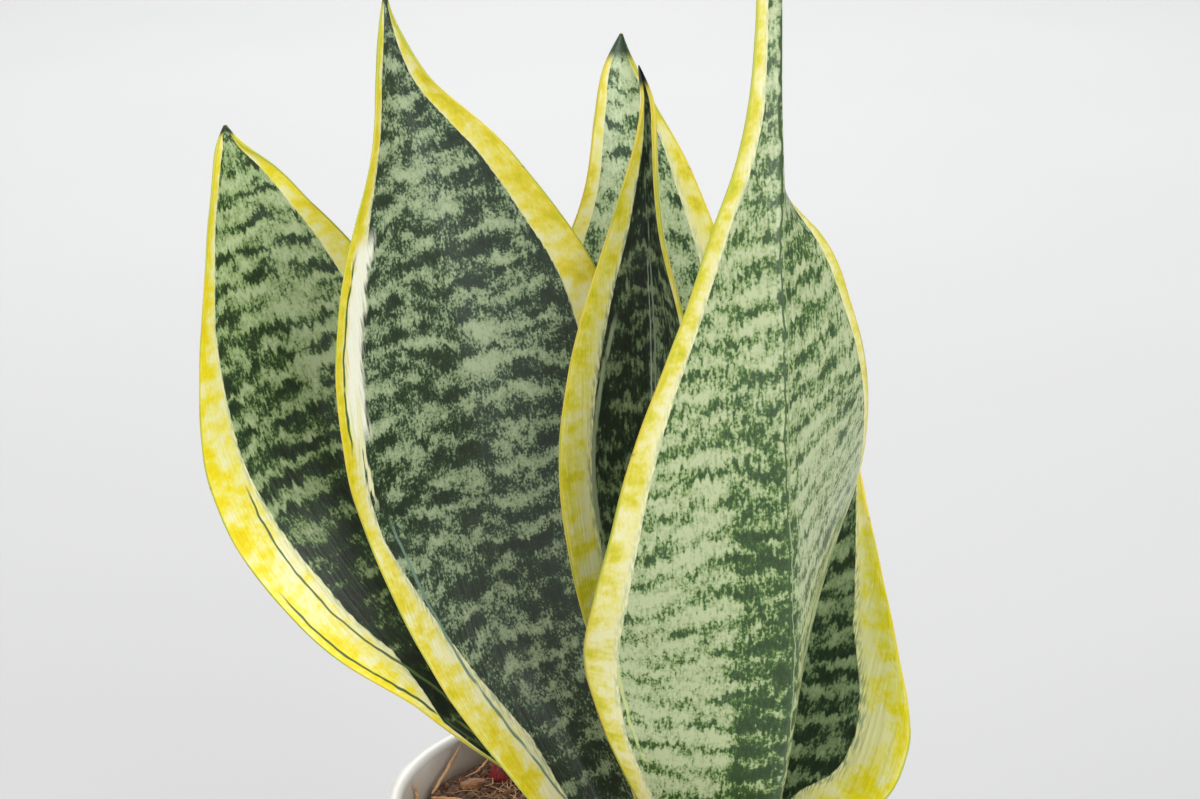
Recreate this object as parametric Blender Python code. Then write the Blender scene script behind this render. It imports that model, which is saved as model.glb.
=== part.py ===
# A potted snake plant: six broad leaves with yellow margins in a plain white pot.
# The origin is the centre of the pot's foot, on the surface that it stands on. +Z is up.
# The plant's front is -Y. Lengths in the tables are millimetres, and MM makes them metres.

import math

import bmesh
import bpy
import numpy as np
from mathutils import Matrix, Vector

MM = 0.001
GAP = 0.3  # what touching pieces keep between their surfaces

# The pot
POT_HEIGHT = 95
RIM_RADIUS = 52
FOOT_RADIUS = 37
WALL = 3.5
FLOOR = 5
FOOT_ROUND = 2.5
POT_SEGMENTS = 64

# The soil and the crown that is buried in it
SOIL_TOP = 87
CROWN_CENTRE = (12, 0)
CROWN_RADIUS = 30
CROWN_DEPTH = 14
CROWN_SEGMENTS = 40

# Leaf meshes
LEAF_STEPS = 22
LEAF_ACROSS = 9
EDGE_THICKNESS = 0.7

# Each leaf has rows from its base to its tip. A row holds the place of the midrib (x, y, z), half the
# blade's width, the compass angle that the inner face looks along, and how far each half folds towards it.
LEAVES = {
    "leaf_far_left": {
        "crease": 0.15,
        "thickness": 2.8,
        "rows": [
            (-6, 14, 82, 11, -65, 68),
            (-15, 20, 99, 17, -68, 57),
            (-31, 27, 118, 21.5, -80, 45),
            (-50.5, 33, 140, 29.5, -84, 40),
            (-65, 36, 165, 31.5, -80, 42),
            (-74, 36, 191, 26, -72, 48),
            (-81, 34, 216, 15, -67, 57),
            (-84, 32, 230, 6, -76, 66),
            (-85, 30, 237, 0, -110, 85),
        ],
    },
    "leaf_wide_left": {
        "crease": 0.15,
        "thickness": 3.0,
        "rows": [
            (-3, 8, 82, 13, -74, 68),
            (-12, 12, 103, 18, -84, 54),
            (-22, 15, 128, 24, -87, 44),
            (-29, 16, 155, 29, -84, 38),
            (-33, 16, 181, 34, -73, 38),
            (-37, 16, 205, 31, -69, 38),
            (-41, 15, 228, 20, -72, 43),
            (-47, 13, 249, 7.5, -71, 61),
            (-48.5, 11, 261, 2.6, -88, 72),
            (-49, 10, 269, 0, -120, 85),
        ],
    },
    "leaf_back": {
        "crease": 0.15,
        "thickness": 2.6,
        "rows": [
            (9, 22, 82, 9, -90, 70),
            (9, 28, 105, 13, -90, 60),
            (6, 31, 133, 20, -90, 40),
            (5, 32, 163, 24, -90, 30),
            (4, 35, 195, 22, -91, 27),
            (3, 37, 222, 13, -92, 32),
            (0, 38, 238, 7.5, -92, 42),
            (-1, 38.5, 247, 4.5, -100, 58),
            (-1, 39, 255, 0, -110, 80),
        ],
    },
    "leaf_centre_young": {
        "crease": 0.5,
        "thickness": 2.2,
        "rows": [
            (10, -2, 82, 7, -108, 80),
            (10, -2, 106, 12, -108, 70),
            (9, 0, 139, 20, -108, 61),
            (6, 2, 170, 22, -110, 56),
            (5, 4, 202, 16, -113, 57),
            (4, 6, 223, 8, -112, 66),
            (4, 7, 239, 4, -95, 82),
            (3, 8, 247, 2.5, -60, 88),
            (2, 8, 254, 0, -50, 88),
        ],
    },
    "leaf_front_tall": {
        "crease": 0.8,
        "thickness": 3.0,
        "rows": [
            (26, -19, 82, 15, 136, 58),
            (30, -28, 107, 31, 134, 57),
            (32, -36, 141, 41.5, 125, 47),
            (31, -39, 160, 38, 122, 37),
            (30, -41, 176, 33, 119, 31),
            (29, -41, 212, 20, 112, 24),
            (28, -40, 230, 13, 116, 30),
            (28, -38, 241, 9, 138, 50),
            (27.6, -36, 254, 5.6, 142, 54),
            (27.6, -32, 268, 4.2, 138, 50),
            (27.5, -28, 280, 3.4, 128, 52),
            (27, -24, 292, 0, 120, 64),
        ],
    },
    "leaf_low_right": {
        "crease": 0.2,
        "thickness": 2.4,
        "rows": [
            (26, 1, 82, 7, -106, 50),
            (28, 2, 93, 16, -107, 40),
            (30, 3, 102, 26, -109, 31),
            (35, 4, 116, 31.5, -114, 27),
            (40, 6, 134, 24, -117, 28),
            (45, 8, 152, 12, -118, 36),
            (49, 10, 169, 0, -112, 60),
        ],
    },
}


def make_material(name, colour, roughness, metallic=0.0):
    material = bpy.data.materials.new(name)
    material.use_nodes = True
    shader = material.node_tree.nodes["Principled BSDF"]
    shader.inputs["Base Color"].default_value = (*colour, 1)
    shader.inputs["Roughness"].default_value = roughness
    shader.inputs["Metallic"].default_value = metallic
    return material


def finish(bm, name, material, sharp_angle=40):
    """Turns the mesh, held in millimetres, into a named object in metres."""
    bmesh.ops.scale(bm, vec=(MM, MM, MM), verts=bm.verts)
    bmesh.ops.recalc_face_normals(bm, faces=bm.faces)
    mesh = bpy.data.meshes.new(name)
    bm.to_mesh(mesh)
    bm.free()
    mesh.shade_smooth()
    mesh.set_sharp_from_angle(angle=math.radians(sharp_angle))
    mesh.materials.append(material)
    piece = bpy.data.objects.new(name, mesh)
    bpy.context.collection.objects.link(piece)
    return piece


def turn(profile, segments, centre=(0, 0)):
    """Spins a closed run of (radius, height) points about a vertical axis. Its ends lie on the axis."""
    bm = bmesh.new()
    rings = []
    for radius, height in profile:
        if radius == 0:
            rings.append([bm.verts.new((centre[0], centre[1], height))])
            continue
        angles = [math.tau * k / segments for k in range(segments)]
        ring = [
            bm.verts.new((centre[0] + radius * math.cos(a), centre[1] + radius * math.sin(a), height))
            for a in angles
        ]
        rings.append(ring)
    for lower, upper in zip(rings, rings[1:]):
        for k in range(segments):
            corners = [lower[k % len(lower)], lower[(k + 1) % len(lower)]]
            corners += [upper[(k + 1) % len(upper)], upper[k % len(upper)]]
            bm.faces.new(dict.fromkeys(corners))
    return bm


def arc(centre, radius, start, end, steps):
    """Points round an arc in the (radius, height) plane, angles in degrees."""
    angles = [math.radians(start + (end - start) * k / steps) for k in range(steps + 1)]
    return [(centre[0] + radius * math.cos(a), centre[1] + radius * math.sin(a)) for a in angles]


def inner_radius(height):
    """Radius of the pot's inner wall, which runs parallel to its outer wall."""
    return FOOT_RADIUS - WALL + (RIM_RADIUS - FOOT_RADIUS) * height / POT_HEIGHT


def make_pot(material):
    lip = WALL / 2
    profile = [(0, 0)]
    profile += arc((FOOT_RADIUS - FOOT_ROUND, FOOT_ROUND), FOOT_ROUND, -90, -10, 4)
    profile += arc((RIM_RADIUS - lip, POT_HEIGHT - lip), lip, 0, 180, 8)
    profile += [(inner_radius(SOIL_TOP), SOIL_TOP)]
    profile += [(inner_radius(FLOOR + FOOT_ROUND), FLOOR + FOOT_ROUND)]
    profile += [(inner_radius(FLOOR) - FOOT_ROUND, FLOOR), (0, FLOOR)]
    return finish(turn(profile, POT_SEGMENTS), "pot", material)


def crown_profile(grow):
    """Half an ellipse hanging from the soil's top, with a flat upper face, grown by a margin."""
    steps = 6
    points = []
    for k in range(steps + 1):
        angle = math.pi / 2 * k / steps
        points.append(((CROWN_RADIUS + grow) * math.sin(angle), -(CROWN_DEPTH + grow) * math.cos(angle)))
    points[0] = (0, points[0][1])
    return points


def make_crown(material):
    profile = [(radius, SOIL_TOP + drop) for radius, drop in crown_profile(0)]
    profile.append((0, SOIL_TOP))
    return finish(turn(profile, CROWN_SEGMENTS, CROWN_CENTRE), "crown", material)


def make_soil(material):
    """A plug that fills the pot, with a hollow in its top that the crown sits in."""
    low = FLOOR + GAP
    plug = turn(
        [
            (0, low),
            (inner_radius(low) - FOOT_ROUND - GAP, low),
            (inner_radius(FLOOR + FOOT_ROUND) - GAP, FLOOR + FOOT_ROUND),
            (inner_radius(SOIL_TOP) - GAP, SOIL_TOP),
            (0, SOIL_TOP),
        ],
        POT_SEGMENTS,
    )
    soil = finish(plug, "soil", material)
    hollow = [(radius, SOIL_TOP + drop) for radius, drop in crown_profile(GAP)]
    hollow += [(hollow[-1][0], SOIL_TOP + CROWN_DEPTH), (0, SOIL_TOP + CROWN_DEPTH)]
    cutter = finish(turn(hollow, CROWN_SEGMENTS, CROWN_CENTRE), "crown_hollow_cutter", material)
    cutter.hide_render = True
    cutter.display_type = "WIRE"
    cut = soil.modifiers.new("crown hollow", "BOOLEAN")
    cut.object = cutter
    cut.operation = "DIFFERENCE"
    return soil


def smooth_rows(rows, steps):
    """Reads a smooth curve through the rows at even steps, weighted by the distance between midrib points."""
    rows = np.array(rows, float)
    along = np.concatenate([[0], np.cumsum(np.linalg.norm(np.diff(rows[:, :3], axis=0), axis=1))])
    along /= along[-1]
    span = np.diff(along)[:, None]
    slope = np.diff(rows, axis=0) / span
    tangent = np.zeros_like(rows)
    tangent[1:-1] = (slope[:-1] * span[1:] + slope[1:] * span[:-1]) / (span[1:] + span[:-1])
    tangent[0] = slope[0] * 1.5 - tangent[1] * 0.5
    tangent[-1] = slope[-1] * 1.5 - tangent[-2] * 0.5
    where = np.linspace(0, 1, steps + 1)
    part = np.clip(np.searchsorted(along, where, side="right") - 1, 0, len(span) - 1)
    t = ((where - along[part]) / span[part, 0])[:, None]
    rise = span[part]
    start = (1 + 2 * t) * (1 - t) ** 2 * rows[part] + t * (1 - t) ** 2 * rise * tangent[part]
    return start + t**2 * (3 - 2 * t) * rows[part + 1] + t**2 * (t - 1) * rise * tangent[part + 1]


def unit(vectors):
    return vectors / np.linalg.norm(vectors, axis=-1, keepdims=True)


def blade_surface(leaf):
    """Points [step, across] of the blade's middle surface and the inner face's directions there."""
    read = smooth_rows(leaf["rows"], LEAF_STEPS)
    spine = read[:, :3]
    half_width = np.maximum(read[:, 3], 0)
    facing = np.radians(read[:, 4])
    fold = np.radians(read[:, 5])
    upward = unit(np.gradient(spine, axis=0))
    inward = np.stack([np.cos(facing), np.sin(facing), 0 * facing], axis=1)
    inward = unit(inward - (inward * upward).sum(1, keepdims=True) * upward)
    sideways = np.cross(upward, inward)
    # Across the blade the slope starts at the crease's share of the fold and grows to all of it.
    across = np.linspace(-1, 1, LEAF_ACROSS)
    slope = fold[:, None] * (leaf["crease"] + (1 - leaf["crease"]) * abs(across))
    step = across[1] - across[0]
    middle = LEAF_ACROSS // 2
    out = np.zeros_like(slope)
    lift = np.zeros_like(slope)
    for k in range(middle + 1, LEAF_ACROSS):
        average = (slope[:, k] + slope[:, k - 1]) / 2
        out[:, k] = out[:, k - 1] + step * np.cos(average)
        lift[:, k] = lift[:, k - 1] + step * np.sin(average)
        out[:, LEAF_ACROSS - 1 - k] = -out[:, k]
        lift[:, LEAF_ACROSS - 1 - k] = lift[:, k]
    out = (half_width[:, None] * out)[..., None]
    lift = (half_width[:, None] * lift)[..., None]
    points = spine[:, None] + out * sideways[:, None] + lift * inward[:, None]
    turn_angle = (slope * np.sign(across))[..., None]
    normals = np.cos(turn_angle) * inward[:, None] - np.sin(turn_angle) * sideways[:, None]
    return points, normals, across


def make_leaf(name, leaf, material):
    """A blade that is thick along its midrib and thin at its edges and tip, cut off flat at the soil."""
    points, normals, across = blade_surface(leaf)
    tip_share = np.linspace(0, 1, LEAF_STEPS + 1)[:, None]
    swell = np.sqrt(1 - across**2) * (1 - 0.6 * tip_share)
    thickness = (EDGE_THICKNESS + (leaf["thickness"] - EDGE_THICKNESS) * swell)[..., None]
    inner = points + normals * thickness / 2
    outer = points - normals * thickness / 2
    loops = np.concatenate([inner, outer[:, ::-1]], axis=1)[:-1]
    bm = bmesh.new()
    rings = [[bm.verts.new(tuple(point)) for point in loop] for loop in loops]
    size = len(rings[0])
    for lower, upper in zip(rings, rings[1:]):
        for k in range(size):
            after = (k + 1) % size
            bm.faces.new((lower[k], lower[after], upper[after], upper[k]))
    tip = bm.verts.new(tuple(points[-1, 0]))
    for k in range(size):
        bm.faces.new((rings[-1][k], rings[-1][(k + 1) % size], tip))
    bm.faces.new(rings[0][::-1])
    bmesh.ops.triangulate(bm, faces=bm.faces)
    everything = bm.verts[:] + bm.edges[:] + bm.faces[:]
    base = Vector((0, 0, SOIL_TOP + GAP))
    bmesh.ops.bisect_plane(bm, geom=everything, plane_co=base, plane_no=(0, 0, -1), clear_outer=True)
    open_edges = [edge for edge in bm.edges if edge.is_boundary]
    bmesh.ops.holes_fill(bm, edges=open_edges)
    return finish(bm, name, material)


def make_shoot_scale(material):
    """The tip of a new shoot's scale, which pushes up through the soil behind the leaves."""
    height = 5
    radius = 2.6
    profile = [(0, SOIL_TOP + GAP), (radius, SOIL_TOP + GAP)]
    profile += [(radius * math.cos(a), SOIL_TOP + GAP + height * math.sin(a)) for a in (0.35, 0.7, 1.05)]
    profile.append((0, SOIL_TOP + GAP + height))
    bm = turn(profile, 16)
    bmesh.ops.scale(bm, vec=(1.2, 0.8, 1), verts=bm.verts)
    bmesh.ops.rotate(bm, verts=bm.verts, cent=(0, 0, 0), matrix=Matrix.Rotation(math.radians(-35), 3, "Z"))
    bmesh.ops.translate(bm, verts=bm.verts, vec=(-28, 25, 0))
    return finish(bm, "shoot_scale", material)


def make_strand(name, points, radius, material):
    """A loose coir fibre: a thin tube along a few points chosen by hand."""
    curve = bpy.data.curves.new(name, "CURVE")
    curve.dimensions = "3D"
    curve.bevel_depth = radius * MM
    curve.bevel_resolution = 1
    curve.use_fill_caps = True
    spline = curve.splines.new("POLY")
    spline.points.add(len(points) - 1)
    for point, place in zip(spline.points, points):
        point.co = (*(value * MM for value in place), 1)
    curve.materials.append(material)
    strand = bpy.data.objects.new(name, curve)
    bpy.context.collection.objects.link(strand)
    return strand


def make_chip(name, place, size, heading, material):
    """A husk chip lying flat on the soil, with rounded corners."""
    bm = bmesh.new()
    bmesh.ops.create_cube(bm, size=1)
    bmesh.ops.scale(bm, vec=size, verts=bm.verts)
    bmesh.ops.bevel(bm, geom=bm.edges[:], offset=0.25 * size[2], segments=1, affect="EDGES")
    matrix = Matrix.Rotation(math.radians(heading), 3, "Z")
    bmesh.ops.rotate(bm, verts=bm.verts, cent=(0, 0, 0), matrix=matrix)
    bmesh.ops.translate(bm, verts=bm.verts, vec=(*place, SOIL_TOP + GAP + size[2] / 2))
    return finish(bm, name, material)


# Each fibre's route, and its radius.
STRANDS = {
    "coir_strand_1": (0.45, [(-43, 15, 88.2), (-41.5, 18.5, 89.2), (-39.5, 24, 91), (-36.5, 28, 95)]),
    "coir_strand_2": (0.5, [(-43, 12.5, 88.4), (-39, 11.5, 88.5), (-34, 10.5, 88.2), (-29, 10, 88)]),
    "coir_strand_3": (0.35, [(-45.5, 9, 88.2), (-46.2, 9.5, 91), (-46, 9.8, 93.5)]),
    "coir_strand_4": (0.3, [(-36, 24, 88), (-33, 27, 88.4), (-31, 31, 89.5), (-30, 34.5, 92)]),
    "coir_strand_5": (0.4, [(-20, -30, 88), (-13, -33, 88.4), (-5, -34, 88.2), (2, -38, 88)]),
}

# Each chip's centre on the soil, its size, and the way that it points.
CHIPS = {
    "husk_chip_1": ((-34, 19), (6, 3, 1.6), 25),
    "husk_chip_2": ((-37, 2), (5, 3.5, 1.5), 70),
    "husk_chip_3": ((-22, -22), (7, 3, 1.8), -20),
    "husk_chip_4": ((4, 40), (6, 3.5, 1.6), 10),
    "husk_chip_5": ((37, 22), (5, 3, 1.5), 120),
}


def clear_scene():
    for thing in list(bpy.data.objects):
        bpy.data.objects.remove(thing, do_unlink=True)


def main():
    clear_scene()
    leaf_green = make_material("leaf green", (0.16, 0.25, 0.12), 0.42)
    make_pot(make_material("white glaze", (0.80, 0.79, 0.76), 0.35))
    make_soil(make_material("coir soil", (0.07, 0.04, 0.025), 0.95))
    make_crown(make_material("crown flesh", (0.45, 0.33, 0.20), 0.6))
    for name, leaf in LEAVES.items():
        make_leaf(name, leaf, leaf_green)
    make_shoot_scale(make_material("red scale", (0.14, 0.02, 0.02), 0.45))
    fibre = make_material("coir fibre", (0.36, 0.22, 0.12), 0.85)
    for name, (radius, points) in STRANDS.items():
        make_strand(name, points, radius, fibre)
    husk = make_material("husk chip", (0.20, 0.11, 0.06), 0.9)
    for name, (place, size, heading) in CHIPS.items():
        make_chip(name, place, size, heading, husk)


main()
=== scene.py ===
import bpy
import numpy as np
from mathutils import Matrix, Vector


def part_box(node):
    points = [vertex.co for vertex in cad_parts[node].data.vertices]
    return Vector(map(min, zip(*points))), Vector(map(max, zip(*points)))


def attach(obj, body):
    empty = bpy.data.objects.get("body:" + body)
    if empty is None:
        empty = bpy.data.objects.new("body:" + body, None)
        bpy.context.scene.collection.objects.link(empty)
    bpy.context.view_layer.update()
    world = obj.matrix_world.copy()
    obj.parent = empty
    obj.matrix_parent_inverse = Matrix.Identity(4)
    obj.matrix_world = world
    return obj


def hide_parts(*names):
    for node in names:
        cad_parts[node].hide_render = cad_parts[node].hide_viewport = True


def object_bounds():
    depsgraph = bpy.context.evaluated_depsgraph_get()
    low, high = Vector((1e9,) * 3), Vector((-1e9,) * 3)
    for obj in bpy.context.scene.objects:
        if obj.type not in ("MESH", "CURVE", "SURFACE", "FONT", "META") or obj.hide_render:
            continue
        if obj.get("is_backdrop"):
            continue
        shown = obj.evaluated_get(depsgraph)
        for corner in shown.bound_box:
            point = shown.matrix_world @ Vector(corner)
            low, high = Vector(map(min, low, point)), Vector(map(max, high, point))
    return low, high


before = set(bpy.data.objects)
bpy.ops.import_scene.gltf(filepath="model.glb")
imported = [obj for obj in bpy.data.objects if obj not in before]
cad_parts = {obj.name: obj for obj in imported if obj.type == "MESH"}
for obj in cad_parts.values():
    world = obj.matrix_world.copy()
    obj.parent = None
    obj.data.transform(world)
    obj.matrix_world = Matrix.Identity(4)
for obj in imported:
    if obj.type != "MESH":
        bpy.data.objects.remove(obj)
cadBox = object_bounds()
print("frame loaded")

# The tables of shapes below are in millimetres, and mm turns them to metres.
mm = 0.001
potHigh = np.array(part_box("pot")[1]) / mm
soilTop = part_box("soil")[1][2] / mm


# Helpers

def linear(hexColour):
    # sRGB hex to the linear colour that shaders and lights take
    channels = np.array([int(hexColour[k:k + 2], 16) / 255 for k in (1, 3, 5)])
    low = channels / 12.92
    high = ((channels + 0.055) / 1.055) ** 2.4
    return (*np.where(channels <= 0.04045, low, high).tolist(), 1.0)


def addNode(tree, kind, inputs=(), output=0, ramp=None, **settings):
    # Adds a shader node and returns one of its outputs. inputs holds values or other nodes' outputs, in
    # order or by name or number, and ramp holds (place, colour) stops.
    node = tree.nodes.new("ShaderNode" + kind)
    for name, value in settings.items():
        setattr(node, name, value)
    for key, value in (inputs if isinstance(inputs, dict) else dict(enumerate(inputs))).items():
        if isinstance(value, bpy.types.NodeSocket):
            tree.links.new(value, node.inputs[key])
        else:
            node.inputs[key].default_value = value
    if ramp:
        stops = node.color_ramp.elements
        stops[0].position, stops[0].color = ramp[0][0], linear(ramp[0][1])
        stops[1].position, stops[1].color = ramp[-1][0], linear(ramp[-1][1])
        for position, colour in ramp[1:-1]:
            stops.new(position).color = linear(colour)
    return node.outputs[output]


def newMaterial(name, constants):
    # A material whose Principled shader starts from these constants
    material = bpy.data.materials.new(name)
    material.use_nodes = True
    shader = material.node_tree.nodes["Principled BSDF"]
    for socket, value in constants.items():
        shader.inputs[socket].default_value = value
    return material, material.node_tree, shader


def finishSkin(tree, shader, colour, height, strength, depth):
    # Gives a shader its colour and its relief, whose depth is in millimetres
    tree.links.new(colour, shader.inputs["Base Color"])
    relief = addNode(tree, "Bump", {"Strength": strength, "Distance": depth * mm, "Height": height})
    tree.links.new(relief, shader.inputs["Normal"])


def latticeNoise(x, y, cell, seed):
    # Random values on a square lattice, joined by smoothstep weights: between -1 and 1, one hill per cell
    lattice = np.random.default_rng(seed).uniform(-1, 1, (64, 64))
    column, row = np.floor(x / cell).astype(int), np.floor(y / cell).astype(int)
    fx, fy = x / cell - column, y / cell - row
    fx, fy = fx * fx * (3 - 2 * fx), fy * fy * (3 - 2 * fy)
    corner = lambda dx, dy: lattice[(row + dy) % 64, (column + dx) % 64]
    lower = corner(0, 0) * (1 - fx) + corner(1, 0) * fx
    upper = corner(0, 1) * (1 - fx) + corner(1, 1) * fx
    return lower * (1 - fy) + upper * fy


def ripple(where, waves, seed):
    # A sum of sines whose lengths shrink step by step and whose phases are random: between about -1 and 1
    phases = np.random.default_rng(seed).uniform(0, 2 * np.pi, waves)
    counts = 1.5 + 1.7 * np.arange(waves)
    weights = 1 / (1 + np.arange(waves))
    return (np.sin(2 * np.pi * counts * where[..., None] + phases) * weights).sum(-1) / weights.sum()


def unit(vectors):
    return vectors / np.linalg.norm(vectors, axis=-1, keepdims=True)


def spun(x, y, angle):
    # Turns a plan about the Z axis, anticlockwise from above
    return x * np.cos(angle) - y * np.sin(angle), x * np.sin(angle) + y * np.cos(angle)


def makeMesh(name, points, faces, material, values=None):
    # points in millimetres; values are extra numbers or vectors held at each point
    mesh = bpy.data.meshes.new(name)
    mesh.from_pydata((np.asarray(points) * mm).tolist(), [], faces)
    for label, held in (values or {}).items():
        held = np.asarray(held, np.float32)
        kind, key = ("FLOAT", "value") if held.ndim == 1 else ("FLOAT_VECTOR", "vector")
        mesh.attributes.new(label, kind, "POINT").data.foreach_set(key, held.ravel())
    mesh.shade_smooth()
    mesh.materials.append(material)
    piece = bpy.data.objects.new(name, mesh)
    bpy.context.collection.objects.link(piece)
    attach(piece, "root")
    return piece


def ringFaces(rings, size):
    # Quads between neighbouring closed rings, as rows of point numbers
    row, column = np.meshgrid(np.arange(rings - 1), np.arange(size), indexing="ij")
    after = (column + 1) % size
    below, above = row * size, (row + 1) * size
    return np.stack([below + column, below + after, above + after, above + column], -1).reshape(-1, 4)


def makeShell(name, rings, material, values=None):
    # rings[n, m] are closed loops one above another. Each end closes on the middle of its last loop.
    count, size = rings.shape[:2]
    ends = np.stack([rings[0].mean(0), rings[-1].mean(0)])
    points = np.concatenate([rings.reshape(-1, 3), ends])
    quads = ringFaces(count, size)
    turn = np.arange(size)
    first = np.stack([(turn + 1) % size, turn, np.full(size, count * size)], -1)
    last = np.stack([turn, (turn + 1) % size, np.full(size, count * size + 1)], -1) + [
        (count - 1) * size, (count - 1) * size, 0]
    # The volume under the triangles tells whether the faces point out.
    triangles = np.concatenate([quads[:, :3], quads[:, [0, 2, 3]], first, last])
    a, b, c = (points[triangles[:, k]] for k in range(3))
    if (a * np.cross(b, c)).sum() < 0:
        quads, first, last = quads[:, ::-1], first[:, ::-1], last[:, ::-1]
    faces = quads.tolist() + first.tolist() + last.tolist()
    spread = {}
    for label, held in (values or {}).items():
        flat = held.reshape((count * size,) + held.shape[2:])
        spread[label] = np.concatenate([flat, held[0].mean(0)[None], held[-1].mean(0)[None]])
    return makeMesh(name, points, faces, material, spread)


# Leaves. Each blade lies on a spine of rows from its base to its tip. A row holds the midrib's place (x, y,
# z), half the blade's width, the angle from +X that the inner face looks along, and how far each half folds
# towards it. crease is the share of the fold made at the midrib. margins holds the widths of the yellow
# borders at v = -1 and v = 1, every 20 mm up from the base.

leaves = {
    "leaf_far_left": {
        "rows": [
            (-6, 14, 82, 11, -65, 68),
            (-15, 20, 99, 17, -68, 57),
            (-31, 27, 118, 21.5, -80, 45),
            (-50.5, 33, 140, 29.5, -84, 40),
            (-65, 36, 165, 31.5, -80, 42),
            (-74, 36, 191, 26, -72, 48),
            (-81, 34, 216, 15, -67, 57),
            (-84, 32, 230, 6, -76, 66),
            (-85, 30, 237, 0, -110, 85),
        ],
        "crease": 0.15, "thickness": 2.8, "seed": 11,
        "margins": (
            (0.2, 0.4, 1.2, 9, 11.5, 11, 9, 5.5, 3.4, 2),
            (3, 4, 5, 6, 7, 8.5, 9.5, 8, 5, 2)),
    },
    "leaf_wide_left": {
        "rows": [
            (-3, 8, 82, 13, -74, 68),
            (-12, 12, 103, 18, -84, 54),
            (-22, 15, 128, 24, -87, 44),
            (-29, 16, 155, 29, -84, 38),
            (-33, 16, 181, 34, -73, 38),
            (-37, 16, 205, 31, -69, 38),
            (-41, 15, 228, 20, -72, 43),
            (-47, 13, 249, 7.5, -71, 61),
            (-48.5, 11, 261, 2.6, -88, 72),
            (-49, 10, 269, 0, -120, 85),
        ],
        "crease": 0.15, "thickness": 3.0, "seed": 12,
        "margins": (
            (11, 11, 9.5, 6.8, 3.4, 4.6, 7, 6.2, 3, 1.5, 0.6),
            (5, 6, 7, 8, 8.5, 8.5, 8.5, 8, 6.2, 3, 1)),
    },
    "leaf_back": {
        "rows": [
            (9, 22, 82, 9, -90, 70),
            (9, 28, 105, 13, -90, 60),
            (6, 31, 133, 20, -90, 40),
            (5, 32, 163, 24, -90, 30),
            (4, 35, 195, 22, -91, 27),
            (3, 37, 222, 13, -92, 32),
            (0, 38, 238, 7.5, -92, 42),
            (-1, 38.5, 247, 4.5, -100, 58),
            (-1, 39, 255, 0, -110, 80),
        ],
        "crease": 0.15, "thickness": 2.6, "seed": 13,
        "margins": (
            (4, 4.5, 5, 5.5, 5, 4.6, 4.4, 3.4, 2.4, 0.1),
            (4, 5, 6, 7, 7, 7, 6.6, 5.2, 1.6, 0.1)),
    },
    "leaf_centre_young": {
        "rows": [
            (10, -2, 82, 7, -108, 80),
            (10, -2, 106, 12, -108, 70),
            (9, 0, 139, 20, -108, 61),
            (6, 2, 170, 22, -110, 56),
            (5, 4, 202, 16, -113, 57),
            (4, 6, 223, 8, -112, 66),
            (4, 7, 239, 4, -95, 82),
            (3, 8, 247, 2.5, -60, 88),
            (2, 8, 254, 0, -50, 88),
        ],
        "crease": 0.5, "thickness": 2.2, "seed": 14,
        "margins": (
            (3, 4, 6, 7.5, 8, 7.5, 6.5, 4.5, 1.8, 0.4),
            (2, 2.5, 3, 3, 3, 3, 2.6, 2, 1.2, 0.3)),
    },
    "leaf_front_tall": {
        "rows": [
            (26, -19, 82, 15, 136, 58),
            (30, -28, 107, 31, 134, 57),
            (32, -36, 141, 41.5, 125, 47),
            (31, -39, 160, 38, 122, 37),
            (30, -41, 176, 33, 119, 31),
            (29, -41, 212, 20, 112, 24),
            (28, -40, 230, 13, 116, 30),
            (28, -38, 241, 9, 138, 50),
            (27.6, -36, 254, 5.6, 142, 54),
            (27.6, -32, 268, 4.2, 138, 50),
            (27.5, -28, 280, 3.4, 128, 52),
            (27, -24, 292, 0, 120, 64),
        ],
        "crease": 0.8, "thickness": 3.0, "seed": 15,
        "margins": (
            (3, 3, 2.6, 2.4, 2.3, 2.3, 2.4, 3, 3.6, 3, 2, 1.2),
            (4, 4.5, 5, 7.5, 7, 5.5, 4.2, 3.6, 3.3, 3.1, 2.6, 1.5)),
    },
    "leaf_low_right": {
        "rows": [
            (26, 1, 82, 7, -106, 50),
            (28, 2, 93, 16, -107, 40),
            (30, 3, 102, 26, -109, 31),
            (35, 4, 116, 31.5, -114, 27),
            (40, 6, 134, 24, -117, 28),
            (45, 8, 152, 12, -118, 36),
            (49, 10, 169, 0, -112, 60),
        ],
        "crease": 0.2, "thickness": 2.4, "seed": 16,
        "margins": ((5, 5, 5, 5, 4, 1), (8, 13, 14, 12, 7, 2)),
    },
}

bladeGrid = {"stepsAlong": 240, "stepsAcross": 84, "creaseWidth": 0.035, "rimThickness": 0.8}


def followRows(rows, where):
    # A smooth curve through the rows, read at shares of its length: cubic pieces that share their slopes
    rows = np.array(rows, float)
    along = np.concatenate([[0], np.cumsum(np.linalg.norm(np.diff(rows[:, :3], axis=0), axis=1))])
    along /= along[-1]
    span = np.diff(along)[:, None]
    slope = np.diff(rows, axis=0) / span
    tangent = np.zeros_like(rows)
    tangent[1:-1] = (slope[:-1] * span[1:] + slope[1:] * span[:-1]) / (span[1:] + span[:-1])
    tangent[0] = slope[0] * 1.5 - tangent[1] * 0.5
    tangent[-1] = slope[-1] * 1.5 - tangent[-2] * 0.5
    part = np.clip(np.searchsorted(along, where, side="right") - 1, 0, len(span) - 1)
    t = ((where - along[part]) / span[part, 0])[:, None]
    rise = span[part]
    start = (1 + 2 * t) * (1 - t) ** 2 * rows[part] + t * (1 - t) ** 2 * rise * tangent[part]
    return start + t**2 * (3 - 2 * t) * rows[part + 1] + t**2 * (t - 1) * rise * tangent[part + 1]


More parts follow.
